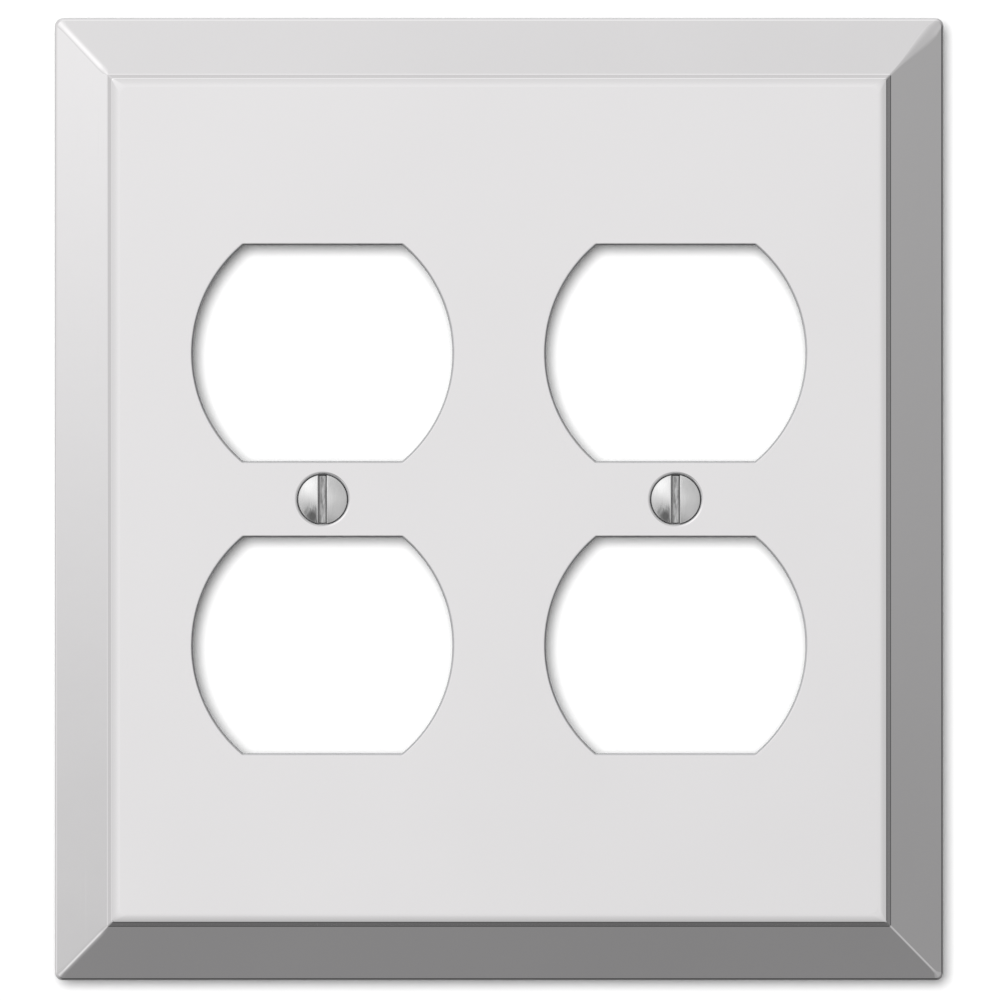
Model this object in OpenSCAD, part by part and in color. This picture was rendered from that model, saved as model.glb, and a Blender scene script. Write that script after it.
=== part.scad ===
// Two-gang duplex receptacle cover plate, formed from one sheet of steel, with
// its two oval-head 6-32 screws. All sizes are in millimetres.
// Seen from the front, +X is right and +Z is up, and +Y goes into the wall.
// The wall is the plane y = 0, and the origin is the middle of the plate on it.

/* [Plate] */
// Width of the plate, left to right
plate_w = 116; // [113:0.5:122]
// Height of the plate
plate_h = 125.6; // [118:0.1:132]
// How far the front of the panel stands off the wall
plate_d = 5.6; // [5.2:0.1:7]
// Thickness of the sheet
sheet_t = 0.9; // [0.7:0.05:1]
// Radius of the plate's outer corners
corner_r = 1; // [0.7:0.1:2]

/* [Border] */
// Height of the straight rim that meets the wall
rim_h = 1; // [0.8:0.1:1.4]
// Width of the sloping bevel
bevel_w = 7.1; // [6:0.1:7.2]
// Width of the steep step between the bevel and the panel
step_w = 0.5; // [0.5:0.05:0.8]
// Height of the steep step
step_h = 0.9; // [0.7:0.05:1]
// Width of the soft roll at the panel's edge
roll_w = 0.7; // [0.5:0.05:0.8]
// Height of the soft roll
roll_h = 0.15; // [0.1:0.05:0.2]

/* [Windows] */
// Distance between the centre lines of the two gangs
gang_pitch = 46.04; // [45.6:0.01:46.4]
// Distance between the middles of the two windows of a gang
outlet_pitch = 38.1; // [37.6:0.1:38.6]
// Width of a window between its two curved sides
window_w = 34.3; // [33.6:0.1:35]
// Height of a window between its two flats
window_h = 28.6; // [28:0.1:29]
// Radius of a window's curved sides
window_r = 18.6; // [17.6:0.1:20]

/* [Screws] */
// Diameter of the oval head at its widest
head_d = 6.6; // [6.2:0.1:6.8]
// Height of the domed crown above the widest part of the head
crown_h = 0.6; // [0.6:0.1:1.1]
// Full angle of the cone under the head and of its seat
seat_angle = 82; // [80:1:90]
// Depth of the widest part of the head below the panel's face
head_sink = 0.1; // [0.05:0.05:0.2]
// Length of the screw from the widest part of its head to its tip
screw_len = 12.7; // [10:0.1:19]
// Outside diameter of the 6-32 thread
thread_d = 3.505; // [3.4:0.005:3.6]
// Width of the driver slot
slot_w = 1.1; // [0.9:0.1:1.2]
// Depth of the driver slot below the top of the crown
slot_depth = 0.8; // [0.7:0.1:1.2]
// Diameter of the clearance hole in the plate
hole_d = 4; // [3.8:0.1:4.2]
// Gap between the screw's cone and its seat, measured along the radius
seat_gap = 0.06; // [0.04:0.01:0.1]

/* [Hidden] */
$fn = 96;
plate_colour = [0.87, 0.87, 0.88];
screw_colour = [0.74, 0.74, 0.76];
// How far a cutting shape runs past the face that it opens
past = 1;

// The border's outside, from the wall to the panel, as points of
// [distance in from the plate's edge, height off the wall]
border = [
    [0, 0],
    [0, rim_h],
    [bevel_w, plate_d - roll_h - step_h],
    [bevel_w + step_w, plate_d - roll_h],
    [bevel_w + step_w + roll_w, plate_d],
    [bevel_w + step_w + 2 * roll_w, plate_d]
];
// The border's inside, one sheet thickness in from the outside
lining = concat(
    [[sheet_t, -past]],
    [for (i = [1 : len(border) - 2]) inset(i)]
);

gangs = [-gang_pitch / 2, gang_pitch / 2];
outlets = [-outlet_pitch / 2, outlet_pitch / 2];
window_arc_x = window_r - window_w / 2;

head_r = head_d / 2;
thread_r = thread_d / 2;
hole_r = hole_d / 2;
crown_r = (head_r * head_r + crown_h * crown_h) / (2 * crown_h);
seat_slope = tan(seat_angle / 2);
// Radius of the plate's seat where it meets the panel's face
lip_r = head_r + seat_gap + head_sink * seat_slope;
// Depth at which the seat has narrowed to the clearance hole
seat_depth = (lip_r - hole_r) / seat_slope;
// Straight wall of the clearance hole behind the seat
land_h = 0.35;
// The seat's wall, measured along the radius
wall_r = sheet_t / cos(seat_angle / 2);
// Plain neck between the cone and the thread
neck_r = 1.49;
neck_h = 0.5;
cone_end = head_sink + (head_r - neck_r) / seat_slope;
tip_h = 0.6;
tip_r = 1.2;
tip_depth = head_sink + screw_len;

function unit(v) = v / norm(v);

// Unit normal of the stretch from a to b, pointing into the sheet
function inward(a, b) = let (d = unit(b - a)) [d.y, -d.x];

// Point i of the border moved one sheet thickness in
function inset(i) =
    let (before = inward(border[i - 1], border[i]))
    let (after = inward(border[i], border[i + 1]))
    border[i] + sheet_t * (before + after) / (1 + before * after);

// A closed section across the whole plate, from one side's profile
function section(width, side) = concat(
    [for (p = side) [p.x - width / 2, -p.y]],
    [for (i = [len(side) - 1 : -1 : 0]) [width / 2 - side[i].x, -side[i].y]]
);

module bar(width, length, side) {
    linear_extrude(length, center = true) polygon(section(width, side));
}

// The same profile on all four sides, meeting in mitres at the corners
module mitred(side) {
    intersection() {
        bar(plate_w, plate_h, side);
        rotate([0, 90, 0]) bar(plate_h, plate_w, side);
    }
}

module rounded_plan(width, height, r) {
    square([width - 2 * r, height], center = true);
    square([width, height - 2 * r], center = true);
    for (x = [-1, 1], z = [-1, 1])
        translate([x * (width / 2 - r), z * (height / 2 - r)]) circle(r);
}

// The formed sheet before it is pierced: rim, bevel, step, roll and panel
module shell() {
    difference() {
        intersection() {
            mitred(border);
            rotate([90, 0, 0]) linear_extrude(plate_d) rounded_plan(plate_w, plate_h, corner_r);
        }
        mitred(lining);
    }
}

module window_plan() {
    intersection() {
        translate([window_arc_x, 0]) circle(window_r);
        translate([-window_arc_x, 0]) circle(window_r);
        square([window_w, window_h], center = true);
    }
}

module window_cut() {
    rotate([90, 0, 0]) linear_extrude(plate_d + past) window_plan();
}

// Places a shape on a screw's axis, with its +Z running from the panel's face
// into the wall
module on_screw_axis(x) {
    translate([x, -plate_d, 0]) rotate([-90, 0, 0]) children();
}

// Cone of metal that the dimple pushes out behind the panel
module dimple_back() {
    depth = seat_depth + land_h;
    start = sheet_t / 2;
    translate([0, 0, start])
        cylinder(
            h = depth - start,
            r1 = lip_r + wall_r - start * seat_slope,
            r2 = lip_r + wall_r - depth * seat_slope
        );
}

// Countersunk seat and clearance hole
module dimple_cut() {
    translate([0, 0, -past])
        cylinder(h = past + seat_depth, r1 = lip_r + past * seat_slope, r2 = hole_r);
    cylinder(h = seat_depth + land_h + past, r = hole_r);
}

module cover_plate() {
    color(plate_colour)
        difference() {
            union() {
                shell();
                for (x = gangs) on_screw_axis(x) dimple_back();
            }
            for (x = gangs, z = outlets) translate([x, 0, z]) window_cut();
            for (x = gangs) on_screw_axis(x) dimple_cut();
        }
}

// Domed top of the head
module crown() {
    intersection() {
        translate([0, 0, head_sink - crown_h + crown_r]) sphere(crown_r);
        translate([0, 0, head_sink - crown_h]) cylinder(h = crown_h, r = head_r);
    }
}

// Cone, neck, thread and chamfered tip
module shank() {
    rotate_extrude()
        polygon([
            [0, head_sink],
            [head_r, head_sink],
            [neck_r, cone_end],
            [neck_r, cone_end + neck_h],
            [thread_r, cone_end + neck_h],
            [thread_r, tip_depth - tip_h],
            [tip_r, tip_depth],
            [0, tip_depth]
        ]);
}

module screw() {
    color(screw_colour)
        difference() {
            union() {
                crown();
                shank();
            }
            translate([-slot_w / 2, -head_d, head_sink - crown_h - past])
                cube([slot_w, 2 * head_d, slot_depth + past]);
        }
}

module left_screw() {
    on_screw_axis(gangs[0]) screw();
}

module right_screw() {
    on_screw_axis(gangs[1]) screw();
}

cover_plate();
left_screw();
right_screw();
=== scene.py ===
import math

import bpy
import numpy as np
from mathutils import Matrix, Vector
from mathutils.geometry import delaunay_2d_cdt


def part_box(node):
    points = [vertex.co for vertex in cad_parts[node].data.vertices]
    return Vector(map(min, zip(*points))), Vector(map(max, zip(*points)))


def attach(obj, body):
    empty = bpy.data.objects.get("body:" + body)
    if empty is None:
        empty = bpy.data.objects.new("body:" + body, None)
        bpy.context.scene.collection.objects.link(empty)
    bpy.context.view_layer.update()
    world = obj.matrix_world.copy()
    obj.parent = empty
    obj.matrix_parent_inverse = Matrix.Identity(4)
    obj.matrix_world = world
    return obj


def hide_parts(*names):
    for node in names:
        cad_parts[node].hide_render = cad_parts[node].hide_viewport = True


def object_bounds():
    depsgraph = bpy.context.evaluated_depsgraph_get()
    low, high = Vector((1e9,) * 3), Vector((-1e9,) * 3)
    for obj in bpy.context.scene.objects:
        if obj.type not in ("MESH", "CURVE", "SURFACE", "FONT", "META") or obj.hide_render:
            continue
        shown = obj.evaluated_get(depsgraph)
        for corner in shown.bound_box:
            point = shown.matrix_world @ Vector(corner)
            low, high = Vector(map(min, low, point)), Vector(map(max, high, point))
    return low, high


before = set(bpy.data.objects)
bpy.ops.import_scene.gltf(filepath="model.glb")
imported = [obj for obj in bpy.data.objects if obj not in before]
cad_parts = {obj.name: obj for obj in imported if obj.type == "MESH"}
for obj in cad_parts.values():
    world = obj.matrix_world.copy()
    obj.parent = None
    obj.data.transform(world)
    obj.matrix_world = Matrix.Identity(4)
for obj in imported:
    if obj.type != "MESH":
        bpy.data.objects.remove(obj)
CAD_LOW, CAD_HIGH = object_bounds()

MM = 0.001

# ---------------------------------------------------------------- sizes from the CAD frame
PLATE_LOW, PLATE_HIGH = (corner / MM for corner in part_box("cover_plate"))
LEFT_LOW, LEFT_HIGH = (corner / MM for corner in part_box("left_screw"))
RIGHT_LOW, RIGHT_HIGH = (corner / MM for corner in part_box("right_screw"))
HALF_W = PLATE_HIGH.x
HALF_H = PLATE_HIGH.z
PANEL_H = -PLATE_LOW.y
SCREW_X = {
    "left_screw": (LEFT_LOW.x + LEFT_HIGH.x) / 2,
    "right_screw": (RIGHT_LOW.x + RIGHT_HIGH.x) / 2,
}
HEAD_R = (LEFT_HIGH.x - LEFT_LOW.x) / 2
TIP_DEPTH = LEFT_HIGH.y + PANEL_H

# ---------------------------------------------------------------- plate sizes, in mm
SHEET = 0.9
RIM_H = 1.0
BEVEL_W = 7.1
STEP_W = 0.5
STEP_H = 0.9
ROLL_W = 0.7
ROLL_H = 0.15
PANEL_INSET = 9.4
# The stamped border is a little wider or narrower on the right, top, left and bottom sides.
SIDE_EXTRA = (-0.14, 0.30, -0.16, 0.02)
# Plan radius of the four corners: at the rim, along the bevel's mitre and round the panel,
# anticlockwise from the upper right. The stamping leaves each mitre a little different.
RIM_CORNER_R = 1.0
MITRE_R = (1.5, 0.75, 0.62, 0.22)
PANEL_CORNER_R = 0.20
# Inset at which each mitre starts to narrow towards the panel's corner.
NARROWING = (0.6, 6.2, 6.2, 6.2)

WINDOW_Z = 19.05
WINDOW_HALF_W = 17.15
WINDOW_HALF_H = 14.3
WINDOW_R = 18.6
WINDOW_CORNER_R = 0.5
# How far the rolled lip of a window stands inside the opening.
WINDOW_LIP = 0.22

SEAT_ANGLE = math.radians(41)
SEAT_SLOPE = math.tan(SEAT_ANGLE)
HEAD_SINK = 0.1
SEAT_GAP = 0.06
LIP_R = HEAD_R + SEAT_GAP + HEAD_SINK * SEAT_SLOPE
HOLE_R = 2.0
SEAT_DEPTH = (LIP_R - HOLE_R) / SEAT_SLOPE
LAND_H = 0.35
SEAT_WALL = SHEET / math.cos(SEAT_ANGLE)

# ---------------------------------------------------------------- screw sizes, in mm
CROWN_H = 0.6
CROWN_R = (HEAD_R ** 2 + CROWN_H ** 2) / (2 * CROWN_H)
SLOT_HALF = 0.55
SLOT_FLOOR_HALF = 0.43
SLOT_FLOOR = HEAD_SINK - CROWN_H + 0.8
SLOT_EDGE_R = 0.15
RIM_EDGE_R = 0.08
RIM_R = HEAD_R - 0.05
RIM_DEPTH = HEAD_SINK - CROWN_H + CROWN_R - math.sqrt(CROWN_R ** 2 - RIM_R ** 2)
BASE_R = RIM_R - (SLOT_FLOOR - RIM_DEPTH) * SEAT_SLOPE
NECK_R = 1.49
NECK_TOP = HEAD_SINK + (HEAD_R - NECK_R) / SEAT_SLOPE
THREAD_START = 2.62
THREAD_TURNS = 11
PITCH = 25.4 / 32
THREAD_END = THREAD_START + PITCH * (THREAD_TURNS + 1)
# Places across one pitch, and how far the thread has risen from root to crest at each.
THREAD_MARKS = (0.0, 0.08, 0.42, 0.46, 0.54, 0.58, 0.92, 1.0)
THREAD_RISE = (0.0, 0.0, 0.96, 1.0, 1.0, 0.96, 0.0, 0.0)
# Share of a turn over which the thread grows out of the neck at either end.
THREAD_FADE = 0.8
CREST_R = 1.7525
ROOT_R = 1.27
TIP_R = 1.2
TIP_H = 0.6


# ---------------------------------------------------------------- mesh tools
class Skin:
    """Points and faces of one piece. Each face corner carries its own exact normal."""

    def __init__(self):
        self.points = []
        self.finish = []
        self.faces = []
        self.normals = []

    def add(self, points, finish=0.0):
        first = len(self.points)
        self.points += [np.array(p, float) for p in points]
        self.finish += [finish] * len(points)
        return list(range(first, first + len(points)))

    def face(self, corners, normals):
        """One face, turned to face the way its normals do, without repeated corners."""
        kept = [i for i in range(len(corners)) if corners[i] != corners[i - 1]]
        if len(kept) < 3:
            return
        ring = [self.points[corners[i]] for i in kept]
        area = sum(np.cross(ring[i - 1], ring[i]) for i in range(len(ring)))
        if float(area @ sum(normals[i] for i in kept)) < 0:
            kept.reverse()
        self.faces.append([corners[i] for i in kept])
        self.normals += [normals[i] for i in kept]

    def band(self, a, b, normals_a, normals_b, closed=True):
        """Quads between two rows of points."""
        count = len(a)
        for i in range(count if closed else count - 1):
            j = (i + 1) % count
            self.face([a[i], a[j], b[j], b[i]],
                      [normals_a[i], normals_a[j], normals_b[j], normals_b[i]])

    def fan(self, ring, centre, normal):
        for i in range(len(ring)):
            self.face([ring[i - 1], ring[i], centre], [normal] * 3)

    def build(self, name, origin):
        """The mesh object, in metres, with its origin at the given point in mm."""
        mesh = bpy.data.meshes.new(name)
        points = [tuple((p - origin) * MM) for p in self.points]
        mesh.from_pydata(points, [], self.faces)
        mesh.polygons.foreach_set("use_smooth", [True] * len(mesh.polygons))
        finish = mesh.attributes.new("finish", "FLOAT", "POINT")
        finish.data.foreach_set("value", self.finish)
        mesh.normals_split_custom_set([tuple(unit(n)) for n in self.normals])
        mesh.update()
        piece = bpy.data.objects.new(name, mesh)
        piece.location = Vector(tuple(origin * MM))
        bpy.context.scene.collection.objects.link(piece)
        return piece


def unit(v):
    v = np.array(v, float)
    return v / np.linalg.norm(v)


def rounded_path(corners, radii, steps):
    """A path of straight stretches whose bends are arcs.

    Each station is (position across, height, normal across, normal in height), with the
    normal on the right-hand side of the way along the path.
    """
    corners = [np.array(c, float) for c in corners]
    stations = []
    for before, here, after, radius, count in zip(corners, corners[1:], corners[2:], radii, steps):
        way_in = unit(here - before)
        way_out = unit(after - here)
        cross = way_in[0] * way_out[1] - way_in[1] * way_out[0]
        turn = math.atan2(cross, way_in @ way_out)
        reach = radius * math.tan(abs(turn) / 2)
        side = math.copysign(1.0, turn)
        left = np.array([-way_in[1], way_in[0]])
        start = here - reach * way_in
        centre = start + side * radius * left
        for k in range(count + 1):
            angle = turn * k / count
            c, s = math.cos(angle), math.sin(angle)
            arm = start - centre
            point = centre + np.array([c * arm[0] - s * arm[1], s * arm[0] + c * arm[1]])
            way = np.array([c * way_in[0] - s * way_in[1], s * way_in[0] + c * way_in[1]])
            stations.append((point[0], point[1], way[1], -way[0]))
    return stations


def offset_path(corners, distance):
    """A path moved sideways by the given distance, to the left of the way along it."""
    corners = [np.array(c, float) for c in corners]
    moved = []
    for before, here, after in zip(corners, corners[1:], corners[2:]):
        first, second = unit(here - before), unit(after - here)
        first = np.array([-first[1], first[0]])
        second = np.array([-second[1], second[0]])
        moved.append(here + distance * (first + second) / (1 + first @ second))
    return moved


def inside(outline, x, z):
    """True if a point of the panel is inside a closed outline."""
    ax, az = outline[:, 0], outline[:, 1]
    bx, bz = np.roll(ax, -1), np.roll(az, -1)
    crosses = (az > z) != (bz > z)
    with np.errstate(divide="ignore", invalid="ignore"):
        at = ax + (z - az) * (bx - ax) / (bz - az)
    return bool(np.count_nonzero(crosses & (x < at)) % 2)


# ---------------------------------------------------------------- plate
def smooth(t):
    t = min(max(t, 0.0), 1.0)
    return t * t * (3 - 2 * t)


def corner_radius(inset, corner):
    """Plan radius of a corner: round at the rim, then the mitre's own, then crisp round the
    step, then softer again on the roll."""
    mitre, start = MITRE_R[corner], NARROWING[corner]
    rim = (RIM_CORNER_R - mitre) * (1 - smooth(inset / 1.2))
    panel = (PANEL_CORNER_R - mitre) * smooth((inset - start) / (BEVEL_W - start))
    roll = max(inset - BEVEL_W - STEP_W, 0.0) * 0.8
    return mitre + rim + panel + roll


def corner_spread(inset, corner):
    """How fast that radius changes with the inset."""
    return (corner_radius(inset + 0.01, corner) - corner_radius(inset - 0.01, corner)) / 0.02


def side_inset(inset, side):
    """The inset on one side, with that side's own width of border."""
    return inset + SIDE_EXTRA[side] * min(inset / BEVEL_W, 1.0)


def border_loop(inset, arc_steps=8, side_steps=14):
    """Round the rounded rectangle: (x, z), outward direction, corner and side it belongs to."""
    middles = []
    for k, (sx, sz) in enumerate(((1, 1), (-1, 1), (-1, -1), (1, -1))):
        side_x, side_z = (0 if sx > 0 else 2), (1 if sz > 0 else 3)
        radius = corner_radius(inset, k)
        middles.append(np.array([sx * (HALF_W - side_inset(inset, side_x) - radius),
                                 sz * (HALF_H - side_inset(inset, side_z) - radius)]))
    loop = []
    for k in range(4):
        radius = corner_radius(inset, k)
        for i in range(arc_steps + 1):
            angle = math.radians(90 * k + 90 * i / arc_steps)
            out = np.array([math.cos(angle), math.sin(angle)])
            loop.append((middles[k] + radius * out, out, k))
        following = (k + 1) % 4
        start = loop[-1][0]
        end = middles[following] + corner_radius(inset, following) * out
        for i in range(1, side_steps):
            loop.append((start + (end - start) * i / side_steps, out, k))
    return loop


def window_outline():
    """Points (x, z) round one window from its middle, with the outward direction at each."""
    arc_x = WINDOW_R - WINDOW_HALF_W
    fillet_z = WINDOW_HALF_H - WINDOW_CORNER_R
    reach = WINDOW_R - WINDOW_CORNER_R
    fillet_x = math.sqrt(reach ** 2 - fillet_z ** 2) - arc_x
    end = math.asin(fillet_z / reach)
    quarter = []
    for i in range(25):
        angle = end * i / 24
        out = (math.cos(angle), math.sin(angle))
        quarter.append((WINDOW_R * out[0] - arc_x, WINDOW_R * out[1], *out))
    for i in range(1, 7):
        angle = end + (math.pi / 2 - end) * i / 6
        out = (math.cos(angle), math.sin(angle))
        quarter.append((fillet_x + WINDOW_CORNER_R * out[0],
                        fillet_z + WINDOW_CORNER_R * out[1], *out))
    for i in range(1, 5):
        quarter.append((fillet_x * (1 - i / 5), WINDOW_HALF_H, 0.0, 1.0))
    upper = quarter + [(-x, z, -u, w) for x, z, u, w in reversed(quarter)]
    lower = [(-x, -z, -u, -w) for x, z, u, w in upper[1:-1]]
    return upper + lower


def add_opening(skin, base, path, heights_finish):
    """The edge of an opening through the sheet. base is (x, z, out x, out z) for each point."""
    rows = []
    for (across, height, n_across, n_height), finish in zip(path, heights_finish):
        points = [(x + across * u, -height, z + across * w) for x, z, u, w in base]
        normals = [np.array([n_across * u, -n_height, n_across * w]) for _, _, u, w in base]
        rows.append((skin.add(points, finish), normals))
    for (a, na), (b, nb) in zip(rows, rows[1:]):
        skin.band(a, b, na, nb)
    return rows[0][0], rows[-1][0]


def add_flat(skin, outer, holes, normal, spacing=4.0, clear=1.6):
    """A flat sheet between an outer loop and its holes, in well-shaped triangles."""
    loops = [outer, *holes]
    known = [i for loop in loops for i in loop]
    flat = [Vector((skin.points[i][0], skin.points[i][2])) for i in known]
    edges = []
    first = 0
    for loop in loops:
        edges += [(first + i, first + (i + 1) % len(loop)) for i in range(len(loop))]
        first += len(loop)
    outlines = [np.array([[skin.points[i][0], skin.points[i][2]] for i in loop]) for loop in loops]
    level = skin.points[outer[0]][1]
    finish = skin.finish[outer[0]]
    edge_points = np.vstack(outlines)
    span_x, span_z = np.abs(outlines[0]).max(axis=0)
    for row, z in enumerate(np.arange(-span_z + spacing / 2, span_z, spacing * 0.87)):
        for x in np.arange(-span_x + spacing * (0.5 + 0.5 * (row % 2)), span_x, spacing):
            if np.hypot(edge_points[:, 0] - x, edge_points[:, 1] - z).min() < clear:
                continue
            if any(inside(o, x, z) for o in outlines[1:]):
                continue
            known += skin.add([(x, level, z)], finish)
            flat.append(Vector((x, z)))
    made = delaunay_2d_cdt(flat, edges, [], 0, 1e-6)
    source = [known[ids[0]] for ids in made[3]]
    for face in made[2]:
        x, z = (sum(made[0][i][axis] for i in face) / len(face) for axis in (0, 1))
        if any(inside(o, x, z) for o in outlines[1:]):
            continue
        skin.face([source[i] for i in face], [normal] * len(face))


def border_profile():
    """Stations (inset, height, normals) from the panel over the border to the lining."""
    front = [
        (PANEL_INSET + 2, PANEL_H),
        (BEVEL_W + STEP_W + ROLL_W, PANEL_H),
        (BEVEL_W + STEP_W, PANEL_H - ROLL_H),
        (BEVEL_W, PANEL_H - ROLL_H - STEP_H),
        (0, RIM_H),
        (0, 0),
    ]
    inner = offset_path(list(reversed(front)), -SHEET)
    corners = front + [(SHEET, 0)] + inner + [(PANEL_INSET + 2, PANEL_H - SHEET)]
    radii = [4.5, 0.34, 0.35, 0.55, 0.12, 0.12, 0.3, 0.4, 0.15, 0.4]
    steps = [10, 7, 6, 10, 4, 4, 6, 4, 4, 3]
    stations = rounded_path(corners, radii, steps)
    first = (PANEL_INSET, PANEL_H, 0.0, 1.0)
    last = (PANEL_INSET, PANEL_H - SHEET, 0.0, -1.0)
    return filled([first, *stations, last], 0.7)


def filled(stations, limit):
    """The same stations, with more between any two that are far apart."""
    full = [stations[0]]
    for before, after in zip(stations, stations[1:]):
        gap = math.hypot(after[0] - before[0], after[1] - before[1])
        pieces = math.ceil(gap / limit)
        for k in range(1, pieces):
            full.append(tuple(a + (b - a) * k / pieces for a, b in zip(before, after)))
        full.append(after)
    return full


def add_border(skin):
    """Panel edge, roll, step, bevel, rim and the lining behind them, mitred at the corners."""
    rows = []
    behind = 0.0
    for inset, height, n_in, n_height in border_profile():
        behind = 1.0 if n_height < -0.5 else behind
        points, normals = [], []
        for (x, z), (u, w), corner in border_loop(inset):
            spread = corner_spread(inset, corner)
            slow_x = 1 + spread * (1 - abs(u))
            slow_z = 1 + spread * (1 - abs(w))
            stretch = slow_x * abs(u) + slow_z * abs(w)
            points.append((x, -height, z))
            normals.append(np.array([-n_in * u, -n_height * stretch, -n_in * w]))
        rows.append((skin.add(points, behind), normals))
    for (a, na), (b, nb) in zip(rows, rows[1:]):
        skin.band(a, b, na, nb)
    return rows[0][0], rows[-1][0]


def window_path():
    """The rolled lip of a window, whose edge stands a little inside the opening."""
    back = PANEL_H - SHEET
    corners = [(2, PANEL_H), (-WINDOW_LIP, PANEL_H), (-WINDOW_LIP, back), (2, back)]
    return rounded_path(corners, [0.34, 0.1], [8, 3])


def dimple_path():
    seat = PANEL_H - SEAT_DEPTH
    land = seat - LAND_H
    back_r = LIP_R + SEAT_WALL - (SEAT_DEPTH + LAND_H) * SEAT_SLOPE
    foot_r = LIP_R + SEAT_WALL - SHEET * SEAT_SLOPE
    corners = [
        (LIP_R + 3, PANEL_H),
        (LIP_R, PANEL_H),
        (HOLE_R, seat),
        (HOLE_R, land),
        (back_r, land),
        (foot_r, PANEL_H - SHEET),
        (LIP_R + 3, PANEL_H - SHEET),
    ]
    return rounded_path(corners, [0.5, 0.12, 0.08, 0.15, 0.8], [8, 3, 3, 4, 5])


def make_plate():
    skin = Skin()
    front_edge, back_edge = add_border(skin)
    front_holes, back_holes = [], []
    outline = window_outline()
    path = window_path()
    finish = [0.0 if n_height > 0.95 else 1.0 for _, _, _, n_height in path]
    for x in SCREW_X.values():
        for z in (-WINDOW_Z, WINDOW_Z):
            base = [(x + px, z + pz, u, w) for px, pz, u, w in outline]
            front, back = add_opening(skin, base, path, finish)
            front_holes.append(front)
            back_holes.append(back)
    path = dimple_path()
    # The countersink gets the dull, darker finish as painted shade in the seat round the screw head.
    finish = [0.0 if n_height > 0.9 else 1.3 for _, _, _, n_height in path]
    for x in SCREW_X.values():
        base = []
        for i in range(96):
            angle = 2 * math.pi * i / 96
            base.append((x, 0.0, math.cos(angle), math.sin(angle)))
        front, back = add_opening(skin, base, path, finish)
        front_holes.append(front)
        back_holes.append(back)
    add_flat(skin, front_edge, front_holes, np.array([0.0, -1.0, 0.0]))
    add_flat(skin, back_edge, back_holes, np.array([0.0, 1.0, 0.0]))
    return skin.build("plate_shell", np.zeros(3))


# ---------------------------------------------------------------- screws
ROWS = 30
ACROSS = 10
FLOOR_COLUMNS = 4
RIM_STEPS = 6
SHANK_FINISH = 0.3


def dome_depth(x, z):
    """Depth of the crown's dome below the panel's face; negative is proud of it."""
    return HEAD_SINK - CROWN_H + CROWN_R - math.sqrt(CROWN_R ** 2 - x * x - z * z)


def dome_painted_shade(x, z):
    """A patch low on the left of the slot is painted dark, as a painted dark reflection on the crown."""
    return 2.0 * math.exp(-((x + 1.35) / 1.00) ** 2 - ((z + 2.15) / 1.20) ** 2)


def dome_normal(x, z):
    return np.array([x, -math.sqrt(CROWN_R ** 2 - x * x - z * z), z]) / CROWN_R


def screw_point(x, depth, z):
    return (x, depth - PANEL_H, z)


def rim_stations():
    """Radius, depth and normals round the edge between the cone and the dome."""
    slope = RIM_R / math.sqrt(CROWN_R ** 2 - RIM_R ** 2)
    corners = [
        (RIM_R - SEAT_SLOPE, RIM_DEPTH + 1),
        (RIM_R, RIM_DEPTH),
        (RIM_R - 1, RIM_DEPTH - slope),
    ]
    return [(r, d, -n_r, -n_d) for r, d, n_r, n_d in rounded_path(corners, [RIM_EDGE_R], [RIM_STEPS])]


def slot_stations():
    """Half width of the slot, radius, depth, lean of the slot's side and normals of the cone,
    from the slot's floor up its side and over its rounded edge."""
    draft = math.atan((SLOT_HALF - SLOT_FLOOR_HALF) / (SLOT_FLOOR - HEAD_SINK + CROWN_H))
    stations = [(SLOT_FLOOR_HALF, BASE_R, SLOT_FLOOR, draft, math.cos(SEAT_ANGLE), math.sin(SEAT_ANGLE))]
    for k, (radius, depth, n_out, n_depth) in enumerate(rim_stations()):
        beta = draft + (math.pi / 2 - draft) * k / RIM_STEPS
        half = SLOT_HALF + SLOT_EDGE_R * (1 - math.cos(beta))
        stations.append((half, radius, depth, beta, n_out, n_depth))
    return stations


def slot_finish_and_shade(k):
    """Painted shade in the slot's lower corners, dull up its side and bright over its edge."""
    if k == 0:
        return 1.5
    return min(1.0, 1.2 * (1 - smooth((k - 1) / 2.5)))


def half_crown(skin, side, share):
    """One half of the slotted crown. Returns its lowest rows, along the slot and the cone."""
    rows = []
    for k, (half, radius, depth, beta, n_out, n_depth) in enumerate(slot_stations()):
        reach = math.sqrt(radius ** 2 - half ** 2)
        drop = SLOT_EDGE_R * (1 - math.sin(beta))
        lean = depth - dome_depth(SLOT_HALF + SLOT_EDGE_R, reach) - drop
        slot_points, cone_points, slot_normals, cone_normals = [], [], [], []
        for t in share:
            z = reach * t
            level = SLOT_FLOOR
            if k:
                level = dome_depth(SLOT_HALF + SLOT_EDGE_R, z) + drop + lean * t ** 8
            slot_points.append(screw_point(side * half, level, z))
            top = dome_normal(half, z)
            normal = math.cos(beta) * np.array([-1.0, 0, 0]) + math.sin(beta) * top
            slot_normals.append(normal * np.array([side, 1, 1]))
            x = math.sqrt(radius ** 2 - z * z)
            cone_points.append(screw_point(side * x, depth, z))
            cone_normals.append(np.array([side * n_out * x / radius, n_depth, n_out * z / radius]))
        slot_row = skin.add(slot_points, slot_finish_and_shade(k))
        inner = skin.add(cone_points[1:-1], 0.2)
        cone_row = [slot_row[0], *inner, slot_row[-1]]
        rows.append((slot_row, slot_normals, cone_row, cone_normals))
    for a, b in zip(rows, rows[1:]):
        skin.band(a[0], b[0], a[1], b[1], closed=False)
        skin.band(a[2], b[2], a[3], b[3], closed=False)
    add_dome(skin, rows[-1][0], rows[-1][2])
    return rows[0][0], rows[0][2]


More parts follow.
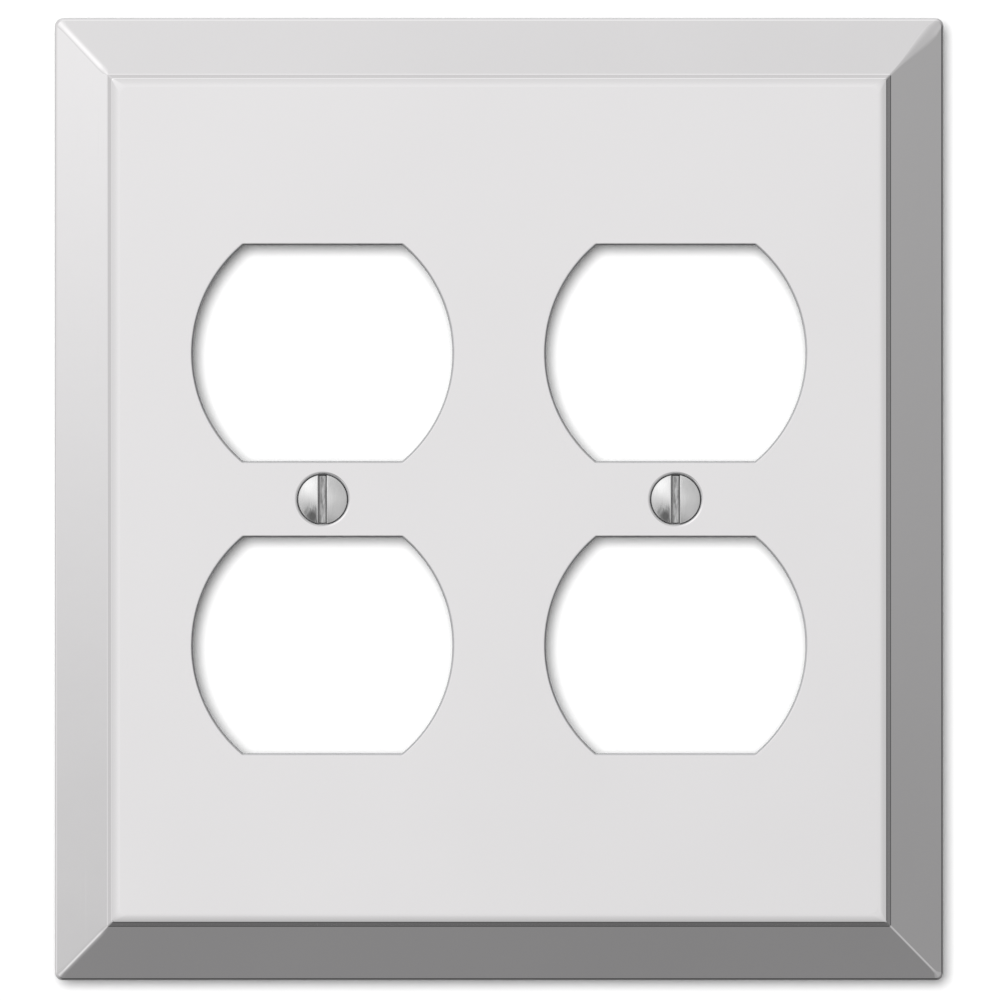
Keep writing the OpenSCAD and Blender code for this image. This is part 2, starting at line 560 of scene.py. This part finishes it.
def add_dome(skin, slot_row, cone_row):
    columns = [slot_row]
    for c in range(1, ACROSS):
        column = []
        for a, b in zip(slot_row, cone_row):
            if a == b:
                column.append(a)
                continue
            start, end = skin.points[a], skin.points[b]
            x = start[0] + (end[0] - start[0]) * c / ACROSS
            z = start[2]
            # The crown's finish carries the painted dark reflection patch.
            column += skin.add([screw_point(x, dome_depth(x, z), z)], dome_painted_shade(x, z))
        columns.append(column)
    columns.append(cone_row)
    normals = [[dome_normal(skin.points[i][0], skin.points[i][2]) for i in col] for col in columns]
    for (a, na), (b, nb) in zip(zip(columns, normals), zip(columns[1:], normals[1:])):
        skin.band(a, b, na, nb, closed=False)


def add_slot_floor(skin, right_row, left_row):
    """Floor of the slot. Returns its two curved ends, from right to left, without corners."""
    columns = [right_row]
    for c in range(1, FLOOR_COLUMNS):
        x = SLOT_FLOOR_HALF * (1 - 2 * c / FLOOR_COLUMNS)
        heights = [skin.points[i][2] for i in right_row]
        heights[0] = -math.sqrt(BASE_R ** 2 - x * x)
        heights[-1] = -heights[0]
        columns.append(skin.add([screw_point(x, SLOT_FLOOR, z) for z in heights], 1.0))
    columns.append(left_row)
    up = [np.array([0.0, -1.0, 0.0])] * len(right_row)
    for a, b in zip(columns, columns[1:]):
        skin.band(a, b, up, up, closed=False)
    between = columns[1:-1]
    return [col[0] for col in between], [col[-1] for col in between]


def turned_rows(skin, angles, stations, finish):
    """Rings of a turned stretch. Stations are radius, depth and the two normals."""
    rows = []
    for radius, depth, n_out, n_depth in stations:
        points = [screw_point(radius * math.cos(a), depth, radius * math.sin(a)) for a in angles]
        normals = [np.array([n_out * math.cos(a), n_depth, n_out * math.sin(a)]) for a in angles]
        rows.append((skin.add(points, finish), normals))
    return rows


def thread_radius(mark, fade):
    """Radius at a place across one pitch, faded towards the plain neck."""
    rise = float(np.interp(mark, THREAD_MARKS, THREAD_RISE))
    full = ROOT_R + (CREST_R - ROOT_R) * rise
    return NECK_R + (full - NECK_R) * fade


def add_thread_points(skin, angles):
    """Points of the strip that is the thread, by step round the helix and mark across it, with
    their radii and depths. Each turn's last row of points is the next turn's first."""
    count = len(angles)
    total = THREAD_TURNS * count
    last = len(THREAD_MARKS) - 1
    ids, shape = {}, {}
    for i in range(total + 1):
        angle = angles[i % count]
        turn = i // count + ((angle - angles[0]) % (2 * math.pi)) / (2 * math.pi)
        for p, mark in enumerate(THREAD_MARKS):
            if p == 0 and i >= count:
                continue
            along = turn + mark
            ends = min(along, THREAD_TURNS + 1 - along)
            radius = thread_radius(mark, smooth(ends / THREAD_FADE))
            depth = THREAD_START + PITCH * along
            point = screw_point(radius * math.cos(angle), depth, radius * math.sin(angle))
            ids[i, p] = skin.add([point], SHANK_FINISH)[0]
            shape[i, p] = (radius, depth)
    for i in range(count, total + count + 1):
        ids[i, 0] = ids[i - count, last]
        shape[i, 0] = shape[i - count, last]
    return ids, shape


def thread_normal(shape, angles, i, p):
    """Normal of the strip between marks p and p + 1, at step i round the helix."""
    (radius, depth), (next_radius, next_depth) = shape[i, p], shape[i, p + 1]
    out, down = unit((next_depth - depth, radius - next_radius))
    angle = angles[i % len(angles)]
    return np.array([out * math.cos(angle), down, out * math.sin(angle)])


def add_thread(skin, angles, top_ring, bottom_ring):
    """One strip that runs round the shank as a true helix and is joined to itself, and the
    rows of faces that join its two ends to the plain rings above and below."""
    ids, shape = add_thread_points(skin, angles)
    count = len(angles)
    total = THREAD_TURNS * count
    last = len(THREAD_MARKS) - 1
    for i in range(total):
        for p in range(last):
            here = thread_normal(shape, angles, i, p)
            ahead = thread_normal(shape, angles, i + 1, p)
            skin.face([ids[i, p], ids[i + 1, p], ids[i + 1, p + 1], ids[i, p + 1]],
                      [here, ahead, ahead, here])
    around = [np.array([math.cos(a), 0.0, math.sin(a)]) for a in angles]
    low = total - count
    for i in range(count):
        j = (i + 1) % count
        seam = [ids[0, p] for p in range(last)] if j == 0 else []
        skin.face([top_ring[i], top_ring[j], *seam, ids[i + 1, 0], ids[i, 0]],
                  [around[i]] + [around[j]] * (len(seam) + 2) + [around[i]])
        seam = [ids[total, p] for p in range(1, last + 1)] if i == 0 else []
        skin.face([bottom_ring[i], bottom_ring[j], ids[low + i + 1, last], ids[low + i, last], *seam],
                  [around[i], around[j], around[j]] + [around[i]] * (len(seam) + 1))


def neck_stations():
    """The plain neck, from the foot of the crown to just above the thread."""
    corners = [(BASE_R, SLOT_FLOOR), (NECK_R, NECK_TOP), (NECK_R, THREAD_START)]
    return rounded_path(corners, [0.25], [4]) + [(NECK_R, THREAD_START - 0.04, 1.0, 0.0)]


def tip_stations():
    """The tip, from just below the thread to its flat end."""
    shoulder = TIP_DEPTH - TIP_H
    corners = [(NECK_R, shoulder - 0.3), (NECK_R, shoulder), (TIP_R, TIP_DEPTH), (0, TIP_DEPTH)]
    return [(NECK_R, THREAD_END + 0.015, 1.0, 0.0)] + rounded_path(corners, [0.1, 0.12], [3, 3])


def make_screw(name, x):
    skin = Skin()
    spread = math.acos(SLOT_FLOOR_HALF / BASE_R)
    share = [math.sin(spread * (2 * j / ROWS - 1)) / math.sin(spread) for j in range(ROWS + 1)]
    right_slot, right_cone = half_crown(skin, 1, share)
    left_slot, left_cone = half_crown(skin, -1, share)
    low_end, high_end = add_slot_floor(skin, right_slot, left_slot)
    ring = right_cone + high_end + left_cone[::-1] + low_end[::-1]
    angles = [math.atan2(skin.points[i][2], skin.points[i][0]) for i in ring]
    cone_out, cone_down = math.cos(SEAT_ANGLE), math.sin(SEAT_ANGLE)
    normals = [np.array([cone_out * math.cos(a), cone_down, cone_out * math.sin(a)]) for a in angles]
    neck = [(ring, normals)] + turned_rows(skin, angles, neck_stations(), SHANK_FINISH)
    tip = turned_rows(skin, angles, tip_stations(), SHANK_FINISH)
    for rows in (neck, tip):
        for (a, na), (b, nb) in zip(rows, rows[1:]):
            skin.band(a, b, na, nb)
    add_thread(skin, angles, neck[-1][0], tip[0][0])
    end = skin.add([screw_point(0, TIP_DEPTH, 0)], SHANK_FINISH)[0]
    skin.fan(tip[-1][0], end, np.array([0.0, 1.0, 0.0]))
    skin.points = [p + np.array([x, 0, 0]) for p in skin.points]
    return skin.build(name + "_turned", np.array([x, 0.0, 0.0]))


# ---------------------------------------------------------------- materials
def new_material(name):
    material = bpy.data.materials.new(name)
    material.use_nodes = True
    material.node_tree.nodes.clear()
    return material, material.node_tree


def add_node(tree, kind, settings=(), **inputs):
    """A node with its settings and the values or links of its inputs, which are named by socket
    with _ for each space, or as _0, _1 and so on by number."""
    node = tree.nodes.new(kind)
    for key, value in dict(settings).items():
        setattr(node, key, value)
    for key, value in inputs.items():
        socket = node.inputs[int(key[1:])] if key[1:].isdigit() else node.inputs[key.replace("_", " ")]
        if isinstance(value, bpy.types.NodeSocket):
            tree.links.new(value, socket)
        else:
            socket.default_value = value
    return node


def math_node(tree, operation, a, b=0.0, c=0.0):
    return add_node(tree, "ShaderNodeMath", {"operation": operation}, _0=a, _1=b, _2=c).outputs[0]


def mapped(tree, coordinates, scale):
    node = add_node(tree, "ShaderNodeMapping", Vector=coordinates)
    node.inputs["Scale"].default_value = scale
    return node.outputs[0]


def noise(tree, vector, scale, detail=2.0, roughness=0.5):
    node = add_node(tree, "ShaderNodeTexNoise", Vector=vector, Scale=scale, Detail=detail,
                    Roughness=roughness)
    return node.outputs[0]


def remap(tree, value, low, high, to_low, to_high):
    node = add_node(tree, "ShaderNodeMapRange", Value=value)
    node.inputs["From Min"].default_value = low
    node.inputs["From Max"].default_value = high
    node.inputs["To Min"].default_value = to_low
    node.inputs["To Max"].default_value = to_high
    return node.outputs[0]


def mix_colour(tree, factor, a, b):
    node = tree.nodes.new("ShaderNodeMix")
    node.data_type = "RGBA"
    for socket, value in ((node.inputs[0], factor), (node.inputs[6], a), (node.inputs[7], b)):
        if isinstance(value, bpy.types.NodeSocket):
            tree.links.new(value, socket)
        else:
            socket.default_value = value
    return node.outputs[2]


def bump(tree, height, distance, below=None):
    node = add_node(tree, "ShaderNodeBump", Height=height, Strength=1.0, Distance=distance)
    if below is not None:
        tree.links.new(below, node.inputs["Normal"])
    return node.outputs[0]


def finish_of(tree):
    return add_node(tree, "ShaderNodeAttribute", {"attribute_name": "finish"}).outputs["Fac"]


def metal_output(tree, colour, roughness, normal, stretch=0.0):
    shader = add_node(tree, "ShaderNodeBsdfPrincipled")
    shader.inputs["Metallic"].default_value = 1.0
    shader.inputs["Anisotropic"].default_value = stretch
    tree.links.new(colour, shader.inputs["Base Color"])
    tree.links.new(roughness, shader.inputs["Roughness"])
    tree.links.new(normal, shader.inputs["Normal"])
    add_node(tree, "ShaderNodeOutputMaterial", Surface=shader.outputs[0])


def plate_chrome():
    """Bright plated steel: mirror front with faint haze and hairlines, duller inside, and the dull
    colour in the countersinks is painted shade.
    """
    material, tree = new_material("polished_chrome")
    place = add_node(tree, "ShaderNodeTexCoord").outputs["Object"]
    finish = finish_of(tree)
    cloud = noise(tree, place, 28.0, 3.0, 0.55)
    grain = noise(tree, place, 900.0, 3.0, 0.6)
    hairline = noise(tree, mapped(tree, place, (5200.0, 900.0, 60.0)), 1.0, 2.0, 0.5)
    bright = mix_colour(tree, remap(tree, cloud, 0.35, 0.65, 0.0, 1.0),
                        (0.903, 0.889, 0.896, 1.0), (0.916, 0.902, 0.909, 1.0))
    dull = mix_colour(tree, grain, (0.60, 0.60, 0.61, 1.0), (0.74, 0.74, 0.75, 1.0))
    colour = mix_colour(tree, finish, bright, dull)
    haze = remap(tree, cloud, 0.3, 0.7, 0.045, 0.085)
    haze = math_node(tree, "ADD", haze, remap(tree, hairline, 0.62, 0.80, 0.0, 0.05))
    satin = remap(tree, grain, 0.3, 0.7, 0.30, 0.42)
    roughness = math_node(tree, "MULTIPLY_ADD", finish, math_node(tree, "SUBTRACT", satin, haze), haze)
    swell = bump(tree, noise(tree, place, 260.0, 2.0, 0.5), 0.0000010)
    texture = bump(tree, math_node(tree, "MULTIPLY", grain, finish), 0.000020, swell)
    metal_output(tree, colour, roughness, texture)
    return material


# Dark grey painted on the screws as shade in the slot's corners and as a dark reflection on the crown.
SHADE_GREY = (0.24, 0.24, 0.24, 1.0)


def screw_chrome():
    """Turned and brushed plating, with the grain up and down, a duller slot and, where the
    finish is above one, a dark grey with a ragged edge: painted shade and a painted dark reflection."""
    material, tree = new_material("brushed_chrome")
    place = add_node(tree, "ShaderNodeTexCoord").outputs["Object"]
    finish = finish_of(tree)
    brush = noise(tree, mapped(tree, place, (8200.0, 8200.0, 260.0)), 1.0, 3.0, 0.6)
    streak = noise(tree, mapped(tree, place, (3600.0, 3600.0, 620.0)), 1.0, 3.0, 0.6)
    cloud = noise(tree, place, 420.0, 2.0, 0.5)
    bright = mix_colour(tree, brush, (0.78, 0.78, 0.78, 1.0), (0.96, 0.955, 0.955, 1.0))
    dull = mix_colour(tree, remap(tree, streak, 0.32, 0.68, 0.0, 1.0),
                      (0.26, 0.26, 0.26, 1.0), (0.84, 0.84, 0.84, 1.0))
    colour = mix_colour(tree, finish, bright, dull)
    # Where the finish is above one, the painted shade and painted dark reflection, with a ragged edge.
    ragged_shade = math_node(tree, "MULTIPLY_ADD", streak, 0.8, finish)
    colour = mix_colour(tree, remap(tree, ragged_shade, 1.5, 2.2, 0.0, 1.0), colour, SHADE_GREY)
    polish = remap(tree, cloud, 0.3, 0.7, 0.13, 0.20)
    polish = math_node(tree, "ADD", polish, remap(tree, brush, 0.4, 0.75, 0.0, 0.08))
    roughness = math_node(tree, "MULTIPLY_ADD", math_node(tree, "MINIMUM", finish, 1.0), 0.20, polish)
    lines = bump(tree, brush, 0.0000110)
    texture = bump(tree, math_node(tree, "MULTIPLY", streak, finish), 0.000060, lines)
    metal_output(tree, colour, roughness, texture, 0.7)
    return material


# ---------------------------------------------------------------- studio
# Soft lights round the object as (tilt from straight in front, clock angle from the right
# going up, spread, strength). The angles are in degrees, and a negative strength is a black
# flag. Directions and spreads were chosen one by one. Most strengths were solved by least
# squares in a separate script, against the brightness wanted on each face, and some were then
# adjusted.
AMBIENT = 0.35
STUDIO = {
    "front_core": (0, 0, 12, 0.32),
    "front_wide": (0, 0, 28, 0.12),
    "front_flag": (2.5, 315, 2.3, -0.08),
    "left_card": (74, 180, 26, 0.41),
    "top_card": (74, 90, 26, 0.56),
    "right_fill": (38, 5, 14, 0.20),
    "right_flag": (62, 5, 12, -0.12),
    "key_box": (33, 135, 15, 0.59),
    "low_left_box": (40, 221, 6, 0.38),
    "low_right_box": (38, 317, 9, 0.16),
    "left_box_top": (53.2, 177.7, 2.2, 0.35),
    "left_box_flag": (53.2, 182.3, 2.2, -0.30),
    "top_box_flag": (53.2, 87.6, 2.2, -0.13),
    "top_strip": (77, 90, 9, 0.03),
    "behind_upper_left": (130, 135, 32, 0.35),
    "lower_flag": (58, 247, 9, -0.22),
    "crown_flag": (27, 236, 6, -0.29),
    "right_rim_flag": (88, 0, 13, -0.32),
    "bottom_rim_flag": (86, 272, 15, -0.39),
    "top_rear_flag": (160, 90, 18, -0.11),
    "low_left_flag": (49, 198, 5, -0.06),
    "behind_lower_right": (128, 315, 34, -0.22),
    "back_glow": (133, 339, 9, 0.35),
    "low_front_box": (22, 272, 6, 0.10),
    "right_high_box": (53.2, 2.6, 2.2, 0.09),
    "right_low_flag": (53.2, 357.4, 2.2, -0.09),
    "right_step_box": (122, 2, 9, 0.10),
    "bottom_left_flag": (53.2, 267.5, 2.2, -0.02),
    "bottom_right_flag": (53.2, 272.5, 2.2, -0.06),
}


def direction(tilt, clock):
    tilt, clock = math.radians(tilt), math.radians(clock)
    return (math.sin(tilt) * math.cos(clock), -math.cos(tilt), math.sin(tilt) * math.sin(clock))


def make_world():
    """The studio as soft lobes of light, and plain white for what the camera sees directly."""
    world = bpy.data.worlds.new("studio")
    world.use_nodes = True
    bpy.context.scene.world = world
    tree = world.node_tree
    tree.nodes.clear()
    ray = add_node(tree, "ShaderNodeTexCoord").outputs["Generated"]
    total = AMBIENT
    for tilt, clock, spread, strength in STUDIO.values():
        sharpness = 1 / math.radians(spread) ** 2
        facing = add_node(tree, "ShaderNodeVectorMath", {"operation": "DOT_PRODUCT"},
                          _0=ray, _1=direction(tilt, clock)).outputs["Value"]
        fall = math_node(tree, "MULTIPLY_ADD", facing, sharpness, -sharpness)
        lobe = math_node(tree, "EXPONENT", fall)
        total = math_node(tree, "MULTIPLY_ADD", lobe, strength, total)
    total = math_node(tree, "MAXIMUM", total, 0.03)
    studio = add_node(tree, "ShaderNodeBackground", Strength=total)
    studio.inputs["Color"].default_value = (1, 1, 1, 1)
    plain = add_node(tree, "ShaderNodeBackground", Strength=1.0)
    plain.inputs["Color"].default_value = (1, 1, 1, 1)
    seen = add_node(tree, "ShaderNodeLightPath").outputs["Is Camera Ray"]
    mixed = add_node(tree, "ShaderNodeMixShader", _0=seen, _1=studio.outputs[0], _2=plain.outputs[0])
    add_node(tree, "ShaderNodeOutputWorld", Surface=mixed.outputs[0])


def make_key_light():
    """A soft lamp up to the left that draws the shadows on the backdrop."""
    lamp = bpy.data.lights.new("key_lamp", "SUN")
    lamp.energy = 19.0
    lamp.angle = math.radians(17)
    key = bpy.data.objects.new("key_lamp", lamp)
    towards = Vector(direction(5.6, 135))
    key.rotation_mode = "QUATERNION"
    key.rotation_quaternion = towards.to_track_quat("Z", "Y")
    key.visible_glossy = False
    bpy.context.scene.collection.objects.link(key)


def stage_plane(name, corners, material):
    mesh = bpy.data.meshes.new(name)
    mesh.from_pydata(corners, [], [(0, 1, 2, 3)])
    mesh.materials.append(material)
    plane = bpy.data.objects.new(name, mesh)
    plane.visible_glossy = False
    bpy.context.scene.collection.objects.link(plane)
    return plane


def upright_card(name, half_x, half_z, y, material):
    """A card that faces the camera. It takes shadows and casts none, and lights nothing."""
    corners = [(-half_x, y, -half_z), (half_x, y, -half_z), (half_x, y, half_z), (-half_x, y, half_z)]
    card = stage_plane(name, corners, material)
    card.visible_diffuse = False
    card.visible_shadow = False


def pale_paint(name, shade, glow, one_sided):
    """Matt paint. A one-sided one is clear from behind, so that the plate's back can be seen."""
    material, tree = new_material(name)
    place = add_node(tree, "ShaderNodeTexCoord").outputs["Object"]
    tooth = noise(tree, place, 60.0, 3.0, 0.5)
    light, dark = shade * 1.01, shade * 0.99
    colour = mix_colour(tree, tooth, (dark, dark, dark, 1.0), (light, light, light, 1.0))
    matt = add_node(tree, "ShaderNodeBsdfDiffuse", Color=colour).outputs[0]
    lit = add_node(tree, "ShaderNodeEmission", Strength=glow).outputs[0]
    paint = add_node(tree, "ShaderNodeAddShader", _0=matt, _1=lit).outputs[0]
    if one_sided:
        behind = add_node(tree, "ShaderNodeNewGeometry").outputs["Backfacing"]
        clear = add_node(tree, "ShaderNodeBsdfTransparent").outputs[0]
        paint = add_node(tree, "ShaderNodeMixShader", _0=behind, _1=paint, _2=clear).outputs[0]
    add_node(tree, "ShaderNodeOutputMaterial", Surface=paint)
    return material


def make_stage():
    """A white backdrop just behind the screw tips, a card of the same white that shows only
    through the windows, and a pale floor below."""
    reach = 2.0
    shade = 0.16
    wall_y = CAD_HIGH.y + 0.0003
    upright_card("backdrop", reach, reach, wall_y, pale_paint("backdrop_paint", shade, 0.025, True))
    card_share, card_y = 0.78, 0.0028
    upright_card("window_card", CAD_HIGH.x * card_share, CAD_HIGH.z * card_share, card_y,
                 pale_paint("card_paint", shade, 0.03, True))
    floor_z = CAD_LOW.z - 0.09
    stage_plane(
        "floor",
        [(-reach, -reach, floor_z), (reach, -reach, floor_z), (reach, reach, floor_z),
         (-reach, reach, floor_z)],
        pale_paint("floor_paint", 0.78, 0.16, False),
    )


def make_camera():
    """Straight on, from far enough away that the border shows no perspective."""
    distance = 3.2
    view_width = 0.13062
    data = bpy.data.cameras.new("camera")
    data.sensor_width = 36.0
    data.lens = data.sensor_width * distance / view_width
    data.clip_start = 0.01
    data.clip_end = 20.0
    camera = bpy.data.objects.new("camera", data)
    camera.location = (0.00011, -distance, -0.00009)
    camera.rotation_euler = (math.radians(90), 0, 0)
    bpy.context.scene.collection.objects.link(camera)
    bpy.context.scene.camera = camera


# ---------------------------------------------------------------- build
plate = make_plate()
plate.data.materials.append(plate_chrome())
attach(plate, "plate")
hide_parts("cover_plate")

screw_metal = screw_chrome()
for screw_name, screw_x in SCREW_X.items():
    screw = make_screw(screw_name, screw_x)
    screw.data.materials.append(screw_metal)
    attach(screw, screw_name)
    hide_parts(screw_name)

make_world()
make_key_light()
make_stage()
make_camera()
bpy.context.scene.view_settings.view_transform = "Standard"
